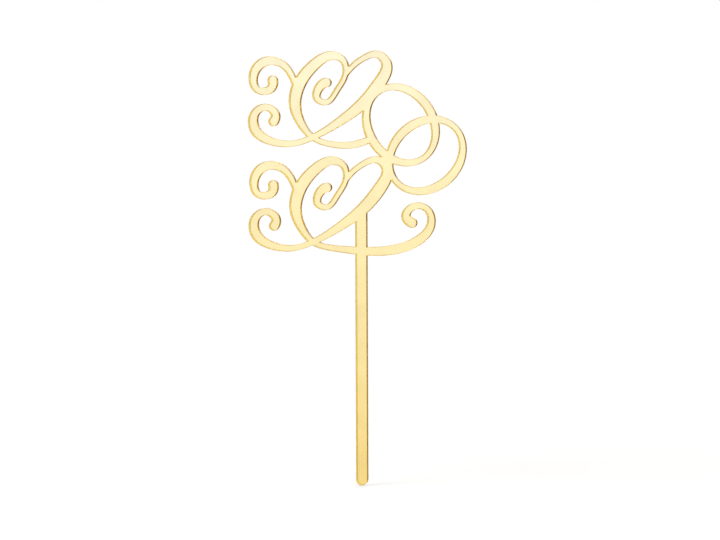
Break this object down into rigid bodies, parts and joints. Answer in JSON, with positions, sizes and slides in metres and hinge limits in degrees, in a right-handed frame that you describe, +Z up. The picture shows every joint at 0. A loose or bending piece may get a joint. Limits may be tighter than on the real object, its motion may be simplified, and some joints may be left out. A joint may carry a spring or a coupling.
{
  "type": "cake topper",
  "caption": "Flat laser-cut cake topper in gold mirror acrylic: scrolled hearts and linked rings on a straight, round-ended stake that pushes into the cake.",
  "frame": {"origin": "centre of the stake's section at the line where it enters the cake, at the middle of the sheet's thickness, 90 mm above the stake's round end", "axes": "+Z up along the stake, +X to the right as seen from the front, the mirror front faces -Y and the lacquered back faces +Y"},
  "size_m": [0.1071, 0.003, 0.2102],
  "materials": {
    "tinted_acrylic": "clear cast acrylic tinted gold, flame-bright laser-cut edges",
    "mirror_film": "vacuum-deposited aluminium, mirror bright",
    "back_lacquer": "sprayed grey protective lacquer, satin"
  },
  "bodies": {
    "root": {"acrylic_sheet": "tinted_acrylic", "mirror_film": "mirror_film", "back_lacquer": "back_lacquer"}
  },
  "joints": []
}
